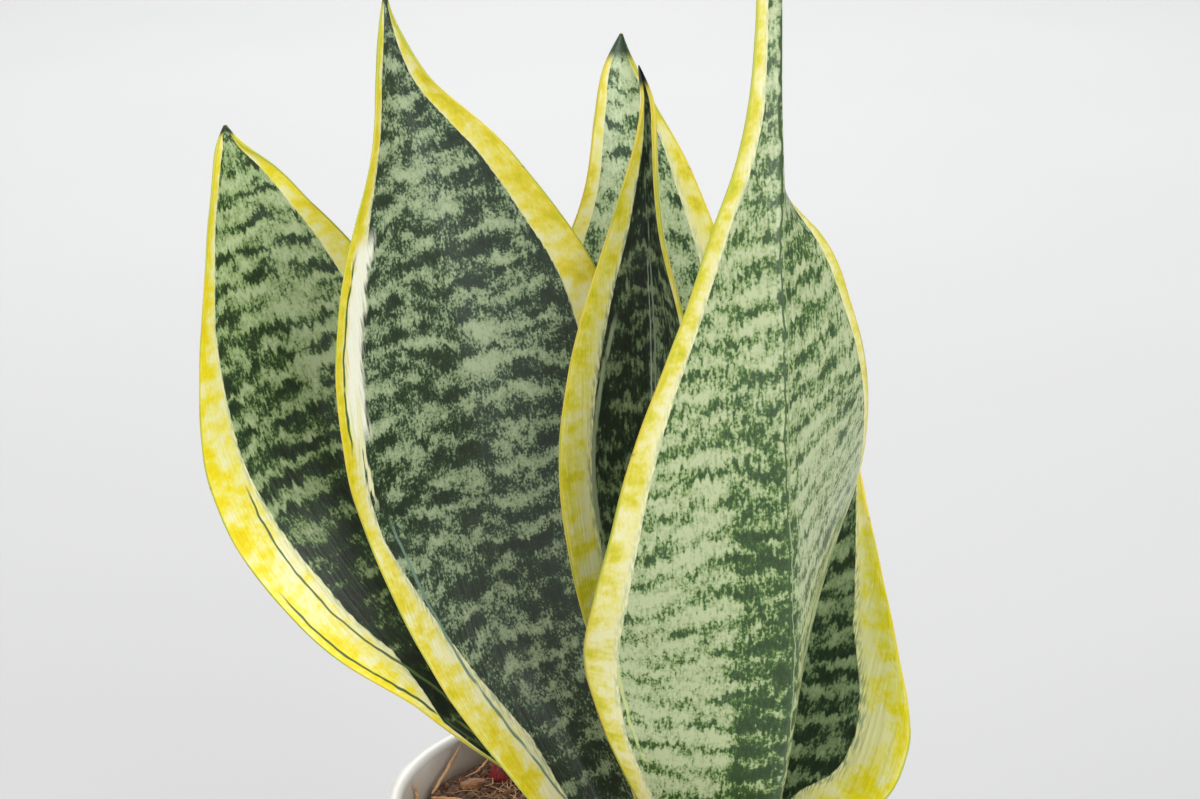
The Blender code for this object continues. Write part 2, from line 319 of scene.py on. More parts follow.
def runningSum(heights, spacing, middle):
    # The area under each row of heights, by trapezoids, counted from the middle column
    steps = (heights[:, 1:] + heights[:, :-1]) / 2 * spacing
    area = np.concatenate([np.zeros((len(heights), 1)), np.cumsum(steps, axis=1)], axis=1)
    return area - area[:, middle:middle + 1]


def makeBlade(name, leaf, material):
    # Across the blade, v runs from -1 to 1. The section's slope at v is fold times the sum of
    # crease * tanh(v / creaseWidth) and (1 - crease) * v, and the running sums of its cosine and sine give
    # the section. Each face lies half a thickness from it along its normal.
    grid = bladeGrid
    where = np.linspace(0, 1, grid["stepsAlong"] + 1)
    read = followRows(leaf["rows"], where)
    spine = read[:, :3]
    length = np.concatenate([[0], np.cumsum(np.linalg.norm(np.diff(spine, axis=0), axis=1))])
    halfWidth = np.maximum(read[:, 3], 0.3 * (1 - where**30))
    facing, fold = np.radians(read[:, 4]), np.radians(read[:, 5])
    upward = unit(np.gradient(spine, axis=0))
    inward = np.stack([np.cos(facing), np.sin(facing), 0 * facing], 1)
    inward = unit(inward - (inward * upward).sum(1, keepdims=True) * upward)
    sideways = np.cross(upward, inward)

    even = np.linspace(-1, 1, grid["stepsAcross"] + 1)
    v = 0.5 * even + 0.5 * np.sin(np.pi / 2 * even)
    middle = grid["stepsAcross"] // 2
    crease = leaf["crease"]
    slope = fold[:, None] * (crease * np.tanh(v / grid["creaseWidth"]) + (1 - crease) * v)
    out = runningSum(np.cos(slope), np.diff(v), middle)
    lift = runningSum(np.sin(slope), np.diff(v), middle)

    # The rims wander a little in width and wave gently to and fro.
    seed = leaf["seed"]
    rimWander = np.stack([ripple(where, 9, seed), ripple(where, 9, seed + 50)], 1)
    rimWave = np.stack([ripple(where, 4, seed + 100), ripple(where, 4, seed + 150)], 1)
    side = (v > 0).astype(int)
    width = halfWidth[:, None] * (1 + 0.012 * rimWander[:, side] * v**2)
    fade = np.minimum(1, halfWidth / 15) * np.sin(np.pi * where)
    wave = 0.7 * rimWave[:, side] * v**4 * fade[:, None]
    middleSurface = (
        spine[:, None] + (width * out)[..., None] * sideways[:, None]
        + (width * lift + wave)[..., None] * inward[:, None])
    normal = (
        np.cos(slope)[..., None] * inward[:, None]
        - np.sin(slope)[..., None] * sideways[:, None])

    # Thickest at the midrib's base, thin at the rims, and nowhere thicker than the tip is wide
    swell = (1 - v**2) * (1 - 0.6 * where[:, None])
    rim = np.sqrt(np.maximum(0, 1 - v**16)) * np.minimum(1, halfWidth / 4)[:, None]
    thick = rim * (grid["rimThickness"] + (leaf["thickness"] - grid["rimThickness"]) * swell)
    thick = np.minimum(thick, 1.6 * halfWidth[:, None] * np.sqrt(np.maximum(0, 1 - v**2)))
    inner = middleSurface + normal * (thick / 2)[..., None]
    outer = middleSurface - normal * (thick / 2)[..., None]
    rings = np.concatenate([inner, outer[:, -2:0:-1]], 1)

    # What the skin reads at each point: where it lies on the blade, in millimetres, and how near the border
    margins = np.stack([
        np.interp(length, 20 * np.arange(len(widths)), widths) for widths in leaf["margins"]], 1)
    closing = 1 - np.exp((length - length[-1]) / 2.5)
    margins = np.minimum(margins, 0.55 * halfWidth[:, None]) * closing[:, None]
    fromRim = halfWidth[:, None] * (1 - abs(v))
    fullSide, fullLength, toTip = np.broadcast_arrays(
        np.sign(v), length[:, None], (length[-1] - length)[:, None], fromRim)[:3]
    border = np.stack([fromRim / np.maximum(margins[:, side], 0.01), fromRim, fullSide], -1)
    place = np.stack([halfWidth[:, None] * v, fullLength, 4 * thick], -1)
    back = place[:, -2:0:-1] * [1, 1, -1]
    values = {
        "bladePlace": np.concatenate([place, back], 1),
        "bladeBorder": np.concatenate([border, border[:, -2:0:-1]], 1),
        "bladeTip": np.concatenate([toTip, toTip[:, -2:0:-1]], 1),
    }
    values = {label: held[:-1] for label, held in values.items()}
    blade = makeShell(name.replace("leaf", "blade"), rings[:-1], material, values)
    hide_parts(name)


# The blade's skin: smooth waxy cuticle over flesh, mottled in greens. Dark bands cross the blade, made of
# short strokes along its fibres. Lengths are in millimetres, and pairs of sizes are across and along.
# - greens run from the palest to the darkest, and share sets how much of the blade is dark
# - band is a patch's size, spacing and regular make the bands recur, and tilt makes them climb on each half
# - zigzag, strokes and speckle roughen the bands, the painted sheen's value sets how much blue-grey
#   reflection is painted on in clouds, and horn is the green tip's length
# - edgeDark darkens the green at the margin, lowDark is (gain, height, shade), highDark (gain, height) and
#   midribDark (centre, reach, gain, height)
# - yellows run from cream to gold, rim is the horny line's width, and each margin pales from its paleFrom
#   towards the green
# - a streak holds its side, its distance from the rim at its start and end, where it starts and ends along
#   the blade, half its width, and its colour; side 0 counts from the midrib

bladeLooks = {
    "leaf_far_left": {
        "greens": ("#bfcea0", "#98ae76", "#52703c", "#2b4024", "#1c2a19"),
        "share": 0.42, "band": (5.5, 2.6), "spacing": 6.5, "regular": 0.5,
        "tilt": (0.1, 0.1), "zigzag": 1.3, "strokes": 0.55, "speckle": 0.55, "paintedSheen": 0.3, "horn": 3.0,
        "edgeDark": 0.3, "lowDark": (1.5, 145, 0.45), "highDark": (0.0, 90), "midribDark": (0, 3, 0, 0),
        "yellows": ("#fbf7c0", "#faf07a", "#f9e728", "#f3d90c"),
        "rim": 0.5, "paleFrom": (0.85, 0.95),
        "streaks": (
            (-1, 5.6, 7.5, 26, 60, 0.26, "#5a7040"),
            (-1, 7.5, 8.6, 57, 104, 0.24, "#5a7040"),
            (-1, 1.8, 2.0, 10, 82, 0.24, "#4f6634"),
            (-1, 3.2, 3.6, 10, 38, 0.2, "#7a8a34"),
        ),
    },
    "leaf_wide_left": {
        "greens": ("#a9b793", "#889a75", "#4a6044", "#273925", "#1c291c"),
        "share": 0.495, "band": (4.6, 2.9), "spacing": 7.5, "regular": 0.4,
        "tilt": (0.0, 0.0), "zigzag": 0.8, "strokes": 0.4, "speckle": 0.75, "paintedSheen": 0.2, "horn": 4.0,
        "edgeDark": 0.3, "lowDark": (0.2, 110, 0.1), "highDark": (0.0, 90), "midribDark": (0, 3, 0, 0),
        "yellows": ("#ece8b4", "#e8dd66", "#e3d02a", "#cec60e"),
        "rim": 0.5, "paleFrom": (0.7, 0.95),
        "streaks": (
            (-1, 5.4, 5.0, 104, 145, 2.2, "#f6f5e2"),
            (-1, 4.9, 5.7, 88, 114, 0.55, "#ecebbc"),
            (-1, 3.4, 3.4, 98, 112, 0.4, "#ecebbc"),
            (-1, 2.2, 2.5, 102, 142, 0.26, "#4a6330"),
            (-1, 8.2, 6.6, 2, 82, 0.3, "#6f8a78"),
        ),
    },
    "leaf_back": {
        "greens": ("#cbd9b4", "#aabd90", "#5f7c50", "#304a30", "#25382b"),
        "share": 0.38, "band": (4.5, 2.4), "spacing": 8.5, "regular": 0.3,
        "tilt": (0.2, 0.2), "zigzag": 1.0, "strokes": 0.5, "speckle": 0.6, "paintedSheen": 0.2, "horn": 7.0,
        "edgeDark": 0.2, "lowDark": (0.0, 60, 0), "highDark": (0.0, 90), "midribDark": (0, 3, 0, 0),
        "yellows": ("#f8f3b8", "#f6ee8a", "#f0e040", "#dccb26"),
        "rim": 0.5, "paleFrom": (0.9, 0.6),
        "streaks": (
            (1, 5.6, 5.0, 95, 125, 0.4, "#8da05a"),
        ),
    },
    "leaf_centre_young": {
        "greens": ("#8f9c78", "#6c7c58", "#374833", "#1c291f", "#141d18"),
        "share": 0.53, "band": (4, 2.6), "spacing": 8.0, "regular": 0.2,
        "tilt": (0.0, 0.0), "zigzag": 1.0, "strokes": 0.7, "speckle": 0.4, "paintedSheen": 0.2, "horn": 6.0,
        "edgeDark": 0.4, "lowDark": (0.3, 60, 0.3), "highDark": (0.0, 90), "midribDark": (0, 3, 0, 0),
        "yellows": ("#f6f2ba", "#f2e974", "#ebdf38", "#d8cc1c"),
        "rim": 0.5, "paleFrom": (0.75, 0.95),
        "streaks": (
            (0, 0, 0, 40, 150, 0.3, "#8c9a80"),
            (0, 1.8, 1.4, 50, 140, 0.25, "#7c8a70"),
            (-1, 8.4, 8.0, 20, 120, 0.45, "#98a284"),
        ),
    },
    "leaf_front_tall": {
        "greens": ("#b2bd92", "#91a271", "#5a7838", "#355226", "#283d1b"),
        "share": 0.34, "band": (5, 2.2), "spacing": 6.5, "regular": 0.45,
        "tilt": (0.5, 0.12), "zigzag": 1.1, "strokes": 0.85, "speckle": 0.75, "paintedSheen": 0.25, "horn": 5.0,
        "edgeDark": 0.1, "lowDark": (0.0, 60, 0), "highDark": (0.3, 95), "midribDark": (4.5, 6.5, 1.15, 80),
        "yellows": ("#e2deaa", "#dbd474", "#d0c638", "#b6b816"),
        "rim": 0.8, "paleFrom": (0.9, 0.7),
        "streaks": (
            (0, 0, 0, 20, 196, 0.13, "#3c542a"),
            (0, -0.5, -0.5, 20, 196, 0.1, "#8ea070"),
            (1, 6.8, 7.2, 34, 60, 0.3, "#c3cd88"),
        ),
    },
    "leaf_low_right": {
        "greens": ("#93a57e", "#75895f", "#42593a", "#213422", "#19271b"),
        "share": 0.45, "band": (5, 2.6), "spacing": 6.5, "regular": 0.5,
        "tilt": (-0.4, -0.4), "zigzag": 1.2, "strokes": 0.55, "speckle": 0.55, "paintedSheen": 0.3, "horn": 3.0,
        "edgeDark": 0.25, "lowDark": (0.3, 40, 0.2), "highDark": (0.0, 90), "midribDark": (0, 3, 0, 0),
        "yellows": ("#fcf8b4", "#fbf270", "#faeb24", "#f0ea10"),
        "rim": 0.5, "paleFrom": (0.9, 0.75),
        "streaks": (),
    },
}
# A blue-grey colour painted on the leaves as sheen, standing in for reflection off the waxy cuticle
paintedSheenColour = "#7f8f92"
rimLook = {"green": "#b9bd3c", "gold": "#dcc848", "brown": "#a5793f", "driedTip": "#7d6a4c"}


def bladeMaterial(name, look):
    # Leaf cuticle: satin wax over mottled flesh. The pattern lies in the blade's own millimetres, so it
    # follows every bend and fold.
    material, tree, shader = newMaterial("leafCuticle_" + name,
        {"Roughness": 0.42, "Coat Weight": 0.2, "Coat Roughness": 0.3, "IOR": 1.45})
    place = addNode(tree, "Attribute", output="Vector", attribute_name="bladePlace")
    border = addNode(tree, "Attribute", output="Vector", attribute_name="bladeBorder")
    toTip = addNode(tree, "Attribute", output="Fac", attribute_name="bladeTip")
    # Each leaf takes its pattern from another layer of the noise.
    offset = addNode(tree, "VectorMath", (place, (0, 0, 37.0 * leaves[name]["seed"])), operation="ADD")
    across, along, depth = addNode(tree, "SeparateXYZ", [offset]).node.outputs
    margin, fromRim, side = addNode(tree, "SeparateXYZ", [border]).node.outputs
    soft = {"interpolation_type": "SMOOTHSTEP"}

    def mottle(vector, cell, detail=0.0, roughness=0.5, gain=1.0):
        # A cloudy pattern around 0, mostly between -gain and gain, whose patches are cell's size
        scaled = addNode(tree, "Mapping",
            {"Vector": vector, "Scale": (1 / cell[0], 1 / cell[1], 1 / cell[0])})
        cloud = addNode(tree, "TexNoise",
            {"Vector": scaled, "Scale": 1.0, "Detail": detail, "Roughness": roughness})
        return addNode(tree, "Math", (cloud, 4 * gain, -2 * gain), operation="MULTIPLY_ADD")

    # The along coordinate is tilted and wanders, so that bands climb to one side with ragged edges.
    bentAlong = along
    for operation, tilt in zip(("MINIMUM", "MAXIMUM"), look["tilt"]):
        half = addNode(tree, "Math", (across, 0.0), operation=operation)
        bentAlong = addNode(tree, "Math", (half, tilt, bentAlong), operation="MULTIPLY_ADD")
    for shift in (mottle(offset, (12, 26), gain=1.3), mottle(offset, (1.3, 7), 1.0, gain=look["zigzag"])):
        bentAlong = addNode(tree, "Math", (bentAlong, shift), operation="ADD")
    bent = addNode(tree, "CombineXYZ", (across, bentAlong, depth))
    phase = addNode(tree, "Math", (bentAlong, 2 * np.pi / look["spacing"]), operation="MULTIPLY")
    waves = addNode(tree, "Math", [phase], operation="SINE")

    # The green is darker where it meets the margin, near the base, and beside the midrib of some blades.
    lowGain, lowReach, shade = look["lowDark"]
    highGain, highReach = look["highDark"]
    centre, reach, midribGain, midribHeight = look["midribDark"]
    edge = addNode(tree, "MapRange", (margin, 1.6, 1.0), **soft)
    low = addNode(tree, "MapRange", (along, lowReach, lowReach * 0.2), **soft)
    high = addNode(tree, "MapRange", (along, highReach, highReach + 50), **soft)
    darkness = [
        (waves, look["regular"]),
        (mottle(offset, (0.65, 2.8), 1.0, 0.6), look["strokes"]),
        (mottle(offset, (0.5, 0.65), 1.0, 0.6), look["speckle"]),
        (mottle(offset, (14, 18), 1.0), 0.35),
        (edge, look["edgeDark"]), (low, lowGain), (high, highGain)]
    if midribGain:
        fromCentre = addNode(tree, "Math", (across, centre), operation="SUBTRACT")
        fromCentre = addNode(tree, "Math", [fromCentre], operation="ABSOLUTE")
        ragged = mottle(offset, (3, 6), 2.0, gain=2.5)
        ragged = addNode(tree, "Math", (ragged, fromCentre), operation="ADD")
        beside = addNode(tree, "MapRange", (ragged, reach * 1.3, reach * 0.6), **soft)
        below = addNode(tree, "MapRange", (along, midribHeight * 1.8, midribHeight), **soft)
        darkness.append((addNode(tree, "Math", (beside, below), operation="MULTIPLY"), midribGain))
    field = mottle(bent, look["band"], 1.0)
    for part, weight in darkness:
        field = addNode(tree, "Math", (part, weight, field), operation="MULTIPLY_ADD")
    level = addNode(tree, "Math", (field, 0.25, look["share"]), operation="MULTIPLY_ADD")
    greens = look["greens"]
    green = addNode(tree, "ValToRGB", [level], ramp=list(zip((0.15, 0.4, 0.51, 0.61, 0.9), greens)))
    deepened = addNode(tree, "Math", (low, -shade, 1.0), operation="MULTIPLY_ADD")
    green = addNode(tree, "VectorMath", {0: green, "Scale": deepened}, operation="SCALE")
    # Painted sheen: blue-grey reflection is painted on the cuticle in faint clouds, standing in for light
    # off the wax.
    cloud = mottle(offset, (9, 14), 3.0, 0.6)
    paintedSheenCover = addNode(tree, "MapRange", (cloud, 0.2, 1.4, 0.0, 0.3 * look["paintedSheen"]), **soft)
    green = addNode(tree, "Mix", {0: paintedSheenCover, 6: green, 7: linear(paintedSheenColour)}, 2, data_type="RGBA")

    # Margin: yellow with deeper blotches made of fine specks, more golden higher up
    level = addNode(tree, "Math", (margin, -1.4, 0.5), operation="MULTIPLY_ADD")
    for part in (
            mottle(offset, (6, 4.5), 2.0, 0.6, 1.5),
            mottle(offset, (0.6, 0.9), 1.0, 0.6, 0.4),
            addNode(tree, "MapRange", (along, 60, 170, 0.0, 0.5), **soft)):
        level = addNode(tree, "Math", (level, part), operation="ADD")
    level = addNode(tree, "Math", (level, 0.22, 0.42), operation="MULTIPLY_ADD")
    yellows = look["yellows"]
    skin = addNode(tree, "ValToRGB", [level], ramp=list(zip((0.2, 0.42, 0.58, 0.8), yellows)))

    # Over the yellow go layers of (cover, colour): it pales towards the green, whose edge is a bit frayed.
    flecks = addNode(tree, "MapRange", (mottle(offset, (0.5, 2.5), 1.0), -0.6, 0.8), **soft)
    cream = addNode(tree, "Mix",
        {0: flecks, 6: linear(yellows[0]), 7: linear(greens[0])}, 2, data_type="RGBA")
    oneSide, otherSide = look["paleFrom"]
    paleFrom = addNode(tree, "Math",
        (side, (otherSide - oneSide) / 2, (otherSide + oneSide) / 2), operation="MULTIPLY_ADD")
    frayed = mottle(offset, (0.5, 1.6), gain=0.012)
    frayed = addNode(tree, "Math", (frayed, margin), operation="ADD")
    layers = [
        (addNode(tree, "MapRange", (margin, paleFrom, 1.0), **soft), cream),
        (addNode(tree, "MapRange", (frayed, 0.985, 1.015), **soft), green)]

    # Long streaks shake a little. The wide ones have ragged edges, and the fine ones are broken.
    for streakSide, first, last, start, end, halfWidth, colour in look["streaks"]:
        line = addNode(tree, "MapRange", (along, start, end, first, last))
        counted = fromRim if streakSide else across
        shaky = mottle(offset, (3, 5), 1.0, gain=0.25)
        shaky = addNode(tree, "Math", (shaky, counted), operation="ADD")
        away = addNode(tree, "Math", (shaky, line), operation="SUBTRACT")
        away = addNode(tree, "Math", [away], operation="ABSOLUTE")
        if halfWidth > 0.5:
            ragged = mottle(offset, (0.7, 7), 1.0, gain=0.9)
            away = addNode(tree, "Math", (ragged, away), operation="ADD")
        cover = addNode(tree, "MapRange", (away, halfWidth * 1.5, halfWidth * 0.6), **soft)
        limits = [(along, start - 3, start + 3), (along, end + 3, end - 3)]
        if halfWidth < 0.5:
            limits.append((mottle(offset, (2, 6), 1.0), -1.2, -0.4))
        if streakSide:
            limits.append((side, 0.0, 0.1 * streakSide))
        for limit in limits:
            shown = addNode(tree, "MapRange", limit, **soft)
            cover = addNode(tree, "Math", (cover, shown), operation="MULTIPLY")
        layers.append((cover, linear(colour)))

    # The very rim is a thin horny line, brown where it has been knocked.
    golden = addNode(tree, "MapRange", (mottle(offset, (30, 22), 1.0), -0.4, 0.4), **soft)
    knocked = addNode(tree, "MapRange", (mottle(offset, (30, 5), 2.0), 0.75, 1.0), **soft)
    rim = addNode(tree, "Mix",
        {0: golden, 6: linear(rimLook["green"]), 7: linear(rimLook["gold"])}, 2, data_type="RGBA")
    rim = addNode(tree, "Mix", {0: knocked, 6: rim, 7: linear(rimLook["brown"])}, 2, data_type="RGBA")
    # The last few millimetres are a green horn that dries to brown.
    horn = look["horn"]
    layers += [
        (addNode(tree, "MapRange", (fromRim, look["rim"], look["rim"] * 0.4), **soft), rim),
        (addNode(tree, "MapRange", (toTip, horn, horn * 0.6), **soft), linear(greens[3])),
        (addNode(tree, "MapRange", (toTip, 1.6, 0.6), **soft), linear(rimLook["driedTip"]))]
    for cover, colour in layers:
        skin = addNode(tree, "Mix", {0: cover, 6: skin, 7: colour}, 2, data_type="RGBA")

    # Fibres under the cuticle give long fine ridges, with finer pitting.
    pits, ridges = mottle(offset, (0.5, 0.7), 1.0), mottle(offset, (0.9, 26), 1.0)
    height = addNode(tree, "Math", (pits, 0.35, ridges), operation="MULTIPLY_ADD")
    finishSkin(tree, shader, skin, height, 0.3, 0.1)
    wear = mottle(offset, (4, 9), 2.0)
    wear = addNode(tree, "Math", (wear, 0.06, 0.42), operation="MULTIPLY_ADD")
    tree.links.new(wear, shader.inputs["Roughness"])
    return material


for leafName, leafShape in leaves.items():
    makeBlade(leafName, leafShape, bladeMaterial(leafName, bladeLooks[leafName]))
print("leaves grown")


# Pot: slip-cast white stoneware under a satin glaze

# The last colour is painted shade for the inner wall, browned as by light bounced off the soil.
pot = {"wall": 3.5, "lip": 1.75, "footRadius": 37.0, "footRound": 2.5, "floor": 5.0, "segments": 192,
    "shade": "#e3e2dd", "white": "#ebeae6", "paintedShade": "#8f7a62"}


def arcPoints(centre, radius, start, end, steps):
    angle = np.radians(np.linspace(start, end, steps + 1))
    return np.stack([centre[0] + radius * np.cos(angle), centre[1] + radius * np.sin(angle)], 1)


def wallRadius(height, inset):
    # The wall's outer radius at a height, less an inset: a straight taper from foot to rim
    return pot["footRadius"] - inset + (potHigh[0] - pot["footRadius"]) * height / potHigh[2]


def makePot(material):
    # A profile of (radius, height) points turned once round the Z axis
    lip, rimRadius, rimHeight = pot["lip"], potHigh[0], potHigh[2]
    outside = np.linspace(8, rimHeight - 6, 24)
    inside = np.linspace(rimHeight - 6, 12, 24)
    profile = np.concatenate([
        [(0.5, 1.2), (28.5, 1.2), (30, 0)],
        arcPoints((pot["footRadius"] - pot["footRound"], pot["footRound"]), pot["footRound"], -90, -10, 8),
        np.stack([wallRadius(outside, 0), outside], 1),
        arcPoints((rimRadius - lip, rimHeight - lip), lip, -8, 188, 20),
        np.stack([wallRadius(inside, pot["wall"]), inside], 1),
        arcPoints((30, 9), 4, 0, -90, 8),
        [(0.5, pot["floor"])]])
    angle = np.linspace(0, 2 * np.pi, pot["segments"], endpoint=False)
    radius, height = profile[:, :1], profile[:, 1:]
    rings = np.stack([radius * np.cos(angle), radius * np.sin(angle), height + 0 * angle], -1)
    piece = makeShell("glazedPot", rings, material)
    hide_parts("pot")


def glazeMaterial():
    # Satin glaze over white clay: soft highlights, faint clouds of tone and a slightly wavy surface
    material, tree, shader = newMaterial("satinGlaze",
        {"Roughness": 0.32, "Coat Weight": 0.25, "Coat Roughness": 0.18})
    place = addNode(tree, "TexCoord", output="Object")
    cloud = addNode(tree, "TexNoise", {"Vector": place, "Scale": 1 / (45.5 * mm), "Detail": 3.0})
    glaze = addNode(tree, "ValToRGB", [cloud], ramp=[(0.3, pot["shade"]), (0.7, pot["white"])])

    # Painted shade darkens the inner wall, deepest next to the soil and tinted brown as by light bounced
    # off it. A point is on that wall if it lies about 3 mm or more inside the outer one.
    x, y, height = addNode(tree, "SeparateXYZ", [place]).node.outputs
    flat = addNode(tree, "CombineXYZ", (x, y))
    radius = addNode(tree, "VectorMath", [flat], "Value", operation="LENGTH")
    taper = (potHigh[0] - pot["footRadius"]) / potHigh[2]
    outer = addNode(tree, "Math", (height, taper, pot["footRadius"] * mm), operation="MULTIPLY_ADD")
    inset = addNode(tree, "Math", (outer, radius), operation="SUBTRACT")
    inside = addNode(tree, "MapRange", (inset, 2.4 * mm, 3.2 * mm))
    raggedNoise = addNode(tree, "TexNoise",
        {"Vector": place, "Scale": 1 / (11.1 * mm), "Detail": 5.0, "Roughness": 0.7})
    raggedHeight = addNode(tree, "Math", (raggedNoise, -6 * mm, height), operation="MULTIPLY_ADD")
    close = addNode(tree, "MapRange", (raggedHeight, (potHigh[2] - 2) * mm, (soilTop - 3) * mm, 0.0, 0.8))
    paintedShadeCover = addNode(tree, "Math", (inside, close), operation="MULTIPLY")
    tint = addNode(tree, "Mix", {0: paintedShadeCover, 6: glaze, 7: linear(pot["paintedShade"])}, 2, data_type="RGBA")
    ripples = addNode(tree, "TexNoise", {"Vector": place, "Scale": 1 / (4.17 * mm), "Detail": 2.0})
    finishSkin(tree, shader, tint, ripples, 0.12, 0.3)
    return material


makePot(glazeMaterial())
print("pot thrown")


# Soil: coir pith and crumbs, darkened by watering, with loose fibres and chips of husk on top

soil = {"top": soilTop, "depth": 5.3, "rough": 0.72, "gap": 0.3, "crumbs": 1500, "crumbSize": (0.5, 1.5),
    "fibres": 460, "fibreLength": (6, 24), "fibreRadius": (0.08, 0.2), "fibreReach": 46.3}
shootScale = {"place": (-28, 25), "radius": 2.6, "long": 1.2, "short": 0.8, "turn": -35, "height": 6.2,
    "dark": "#5e1519", "light": "#a3343a"}
crown = {"dark": "#5d4a2c", "light": "#a8975c"}
ground = {"wet": "#2e1d12", "dry": "#5b3b24", "crumbDark": "#3a2416", "crumbLight": "#8a5c38",
    "fibreDark": "#7a4f2f", "fibreLight": "#c39566", "huskDark": "#5a3a22", "huskLight": "#a9784a"}
# Long fibres: radius and route
strands = (
    (0.45, ((-43, 15, 88.2), (-41.5, 18.5, 89.2), (-39.5, 24, 91), (-36.5, 28, 95))),
    (0.5, ((-43, 12.5, 88.4), (-39, 11.5, 88.5), (-34, 10.5, 88.2), (-29, 10, 88))),
    (0.35, ((-45.5, 9, 88.2), (-46.2, 9.5, 91), (-46, 9.8, 93.5))),
    (0.3, ((-36, 24, 88), (-33, 27, 88.4), (-31, 31, 89.5), (-30, 34.5, 92))),
    (0.4, ((-20, -30, 88), (-13, -33, 88.4), (-5, -34, 88.2), (2, -38, 88))),
)
# Chips of husk: place, size and heading
chips = (
    ((-34, 19), (6, 3, 1.6), 25),
    ((-37, 2), (5, 3.5, 1.5), 70),
    ((-22, -22), (7, 3, 1.8), -20),
    ((4, 40), (6, 3.5, 1.6), 10),
    ((37, 22), (5, 3, 1.5), 120),
)


def soilHeight(x, y):
    # The soil's top: hills of three sizes
    hills = (
        latticeNoise(x, y, 9, 31)
        + 0.6 * latticeNoise(x, y, 3.5, 32)
        + 0.35 * latticeNoise(x, y, 1.3, 33))
    return soil["top"] + 0.1 + soil["rough"] * hills


def soilRadius(height):
    # The pot's inner wall, less a narrow gap
    return wallRadius(height, pot["wall"] + soil["gap"])


def makeSoil(material):
    # Rings of a disc, whose radius goes as its share of the wall's, then rings down the wall and in below
    angle = np.linspace(0, 2 * np.pi, 240, endpoint=False)
    share = np.linspace(0.004, 1, 90)[:, None]
    radius = share * soilRadius(soil["top"] - 1)
    x, y = radius * np.cos(angle), radius * np.sin(angle)
    topRings = np.stack([x, y, soilHeight(x, y)], -1)
    below = np.linspace(soil["top"] - 2.5, soil["depth"], 12)[:, None]
    wall = soilRadius(below)
    sides = np.stack([wall * np.cos(angle), wall * np.sin(angle), below + 0 * angle], -1)
    piece = makeShell("coirBed", np.concatenate([topRings, sides]), material)
    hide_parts("soil")


def makeTubes(name, paths, radii, sides, material, tone):
    # paths[k, n] are curves. Round each point lie `sides` points at its radius, across the curve.
    along = unit(np.gradient(paths, axis=1))
    first = unit(np.cross(along, np.array([0.31, 0.17, 0.94])))
    second = np.cross(along, first)
    angle = np.linspace(0, 2 * np.pi, sides, endpoint=False)[:, None]
    ring = np.cos(angle) * first[:, :, None] + np.sin(angle) * second[:, :, None]
    points = paths[:, :, None] + radii[:, :, None, None] * ring
    count, steps = paths.shape[:2]
    one = ringFaces(steps, sides)
    start = (np.arange(count) * steps * sides)[:, None, None]
    quads = (one[None] + start).reshape(-1, 4)
    turn = np.arange(sides)
    ends = np.stack([turn[::-1], turn + (steps - 1) * sides])[None] + start
    values = {"tone": np.repeat(tone, steps * sides)}
    faces = quads.tolist() + ends.reshape(-1, sides).tolist()
    return makeMesh(name, points.reshape(-1, 3), faces, material, values)


def makeLumps(name, centres, sizes, turns, material, tone, seed):
    # Each lump is a ball of 18 points, pushed in and out at random, stretched to its size and turned.
    corners = np.array([(1, 0, 0), (-1, 0, 0), (0, 1, 0), (0, -1, 0), (0, 0, 1), (0, 0, -1)], float)
    edges = [
        (0, 2), (2, 1), (1, 3), (3, 0), (0, 4), (2, 4),
        (1, 4), (3, 4), (0, 5), (2, 5), (1, 5), (3, 5)]
    sides = [
        (0, 2, 4), (2, 1, 4), (1, 3, 4), (3, 0, 4),
        (2, 0, 5), (1, 2, 5), (3, 1, 5), (0, 3, 5)]
    ball = unit(np.concatenate([corners, [corners[i] + corners[j] for i, j in edges]]))
    number = {frozenset(edge): 6 + k for k, edge in enumerate(edges)}
    faces = []
    for a, b, c in sides:
        ab, bc, ca = (number[frozenset(pair)] for pair in ((a, b), (b, c), (c, a)))
        faces += [(a, ab, ca), (ab, b, bc), (ca, bc, c), (ab, bc, ca)]
    push = np.random.default_rng(seed).uniform(0.65, 1.2, (len(centres), 18, 1))
    local = ball * push * sizes[:, None]
    x, y = spun(local[..., 0], local[..., 1], turns[:, None])
    points = (np.stack([x, y, local[..., 2]], -1) + centres[:, None]).reshape(-1, 3)
    every = (np.array(faces)[None] + 18 * np.arange(len(centres))[:, None, None]).reshape(-1, 3)
    return makeMesh(name, points, every.tolist(), material, {"tone": np.repeat(tone, 18)})


def toneMaterial(name, dark, light, grain, roughness, depth):
    # Dry plant fibre: matt, its colour shifting from piece to piece and from grain to grain
    material, tree, shader = newMaterial(name, {"Roughness": roughness, "Sheen Weight": 0.15})
    tone = addNode(tree, "Attribute", output="Fac", attribute_name="tone")
    place = addNode(tree, "TexCoord", output="Object")
    speck = addNode(tree, "TexNoise", {"Vector": place, "Scale": 1 / (grain * mm), "Detail": 3.0})
    level = addNode(tree, "Math", (speck, 0.8, tone), operation="MULTIPLY_ADD")
    colour = addNode(tree, "ValToRGB", [level], ramp=[(0.35, dark), (0.867, light)])
    finishSkin(tree, shader, colour, speck, 0.5, depth)
    return material


